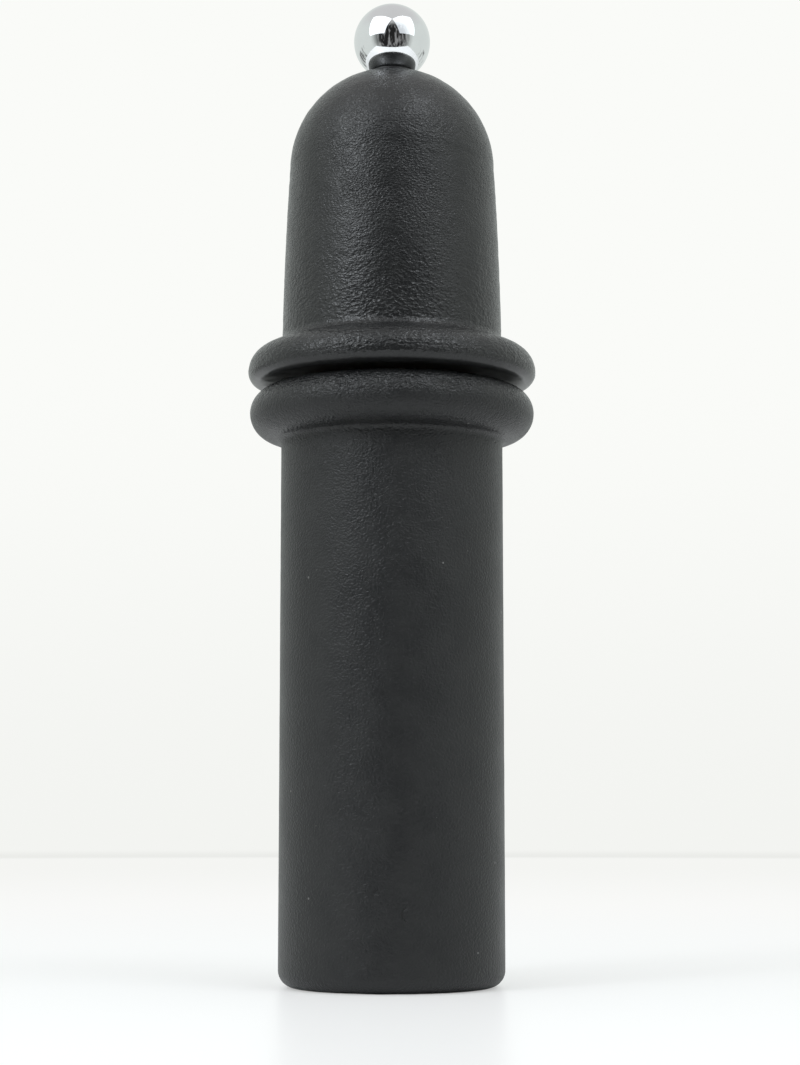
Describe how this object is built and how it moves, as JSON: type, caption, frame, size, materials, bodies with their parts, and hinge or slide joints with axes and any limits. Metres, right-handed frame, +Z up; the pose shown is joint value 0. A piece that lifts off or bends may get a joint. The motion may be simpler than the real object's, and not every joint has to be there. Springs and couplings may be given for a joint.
{
  "type": "pepper mill",
  "caption": "Turned wooden pepper mill: a straight beaded body, a domed head that turns the shaft, a ball nut that sets the grind, and a conical ceramic burr.",
  "frame": {"origin": "centre of the base, on the surface that the mill stands on", "axes": "+Z up along the shaft and the turning axis, +X along the crossbar in the base"},
  "size_m": [0.0598, 0.0598, 0.2051],
  "materials": {
    "coated_wood": "matt black lacquer over turned beech, bare wood inside",
    "polished_chrome": "mirror-polished plating",
    "plated_steel": "zinc-plated steel",
    "drawn_aluminium": "drawn bar, satin",
    "burr_ceramic": "sintered, matt",
    "white_nylon": "natural nylon, satin",
    "black_plastic": "moulded, fine grain",
    "yellow_brass": "turned, satin"
  },
  "bodies": {
    "mill_body": {"body": "coated_wood", "grinder_housing": "black_plastic", "stator": "burr_ceramic", "stator_retainer": "black_plastic", "crossbar": "plated_steel", "crossbar_screws": "plated_steel", "spring_seat": "plated_steel", "spring": "plated_steel"},
    "thrust_washer": {"thrust_washer": "plated_steel"},
    "drive_shaft": {"shaft": "drawn_aluminium", "rotor": "burr_ceramic", "rotor_core": "black_plastic", "retaining_clip": "plated_steel"},
    "glide_ring": {"glide_ring": "white_nylon"},
    "mill_head": {"head": "coated_wood", "drive_plate": "plated_steel", "drive_plate_screws": "plated_steel", "head_eyelet": "yellow_brass", "nut_washer": "black_plastic"},
    "ball_nut": {"ball_nut": "polished_chrome"}
  },
  "joints": [
    {"name": "head_lift", "type": "slide", "parent": "mill_body", "child": "glide_ring", "axis": [0, 0, 1], "range_m": [0, 0.095]},
    {"name": "head_turn", "type": "hinge", "parent": "glide_ring", "child": "mill_head", "pos_m": [0, 0, 0.118], "axis": [0, 0, 1], "continuous": true},
    {"name": "nut_turn", "type": "hinge", "parent": "mill_head", "child": "ball_nut", "pos_m": [0, 0, 0.19705], "axis": [0, 0, -1], "range_deg": [-360, 360]},
    {"name": "grind_adjust", "type": "slide", "parent": "mill_body", "child": "thrust_washer", "axis": [0, 0, 1], "range_m": [-0.0008, 0.0008], "deforming": ["spring"]},
    {"name": "shaft_turn", "type": "hinge", "parent": "thrust_washer", "child": "drive_shaft", "pos_m": [0, 0, 0.0155], "axis": [0, 0, 1], "continuous": true}
  ],
  "couplings": [
    {"joint": "shaft_turn", "follows": "head_turn", "ratio": 1},
    {"joint": "nut_turn", "follows": "grind_adjust", "rad_per_m": 7854}
  ]
}
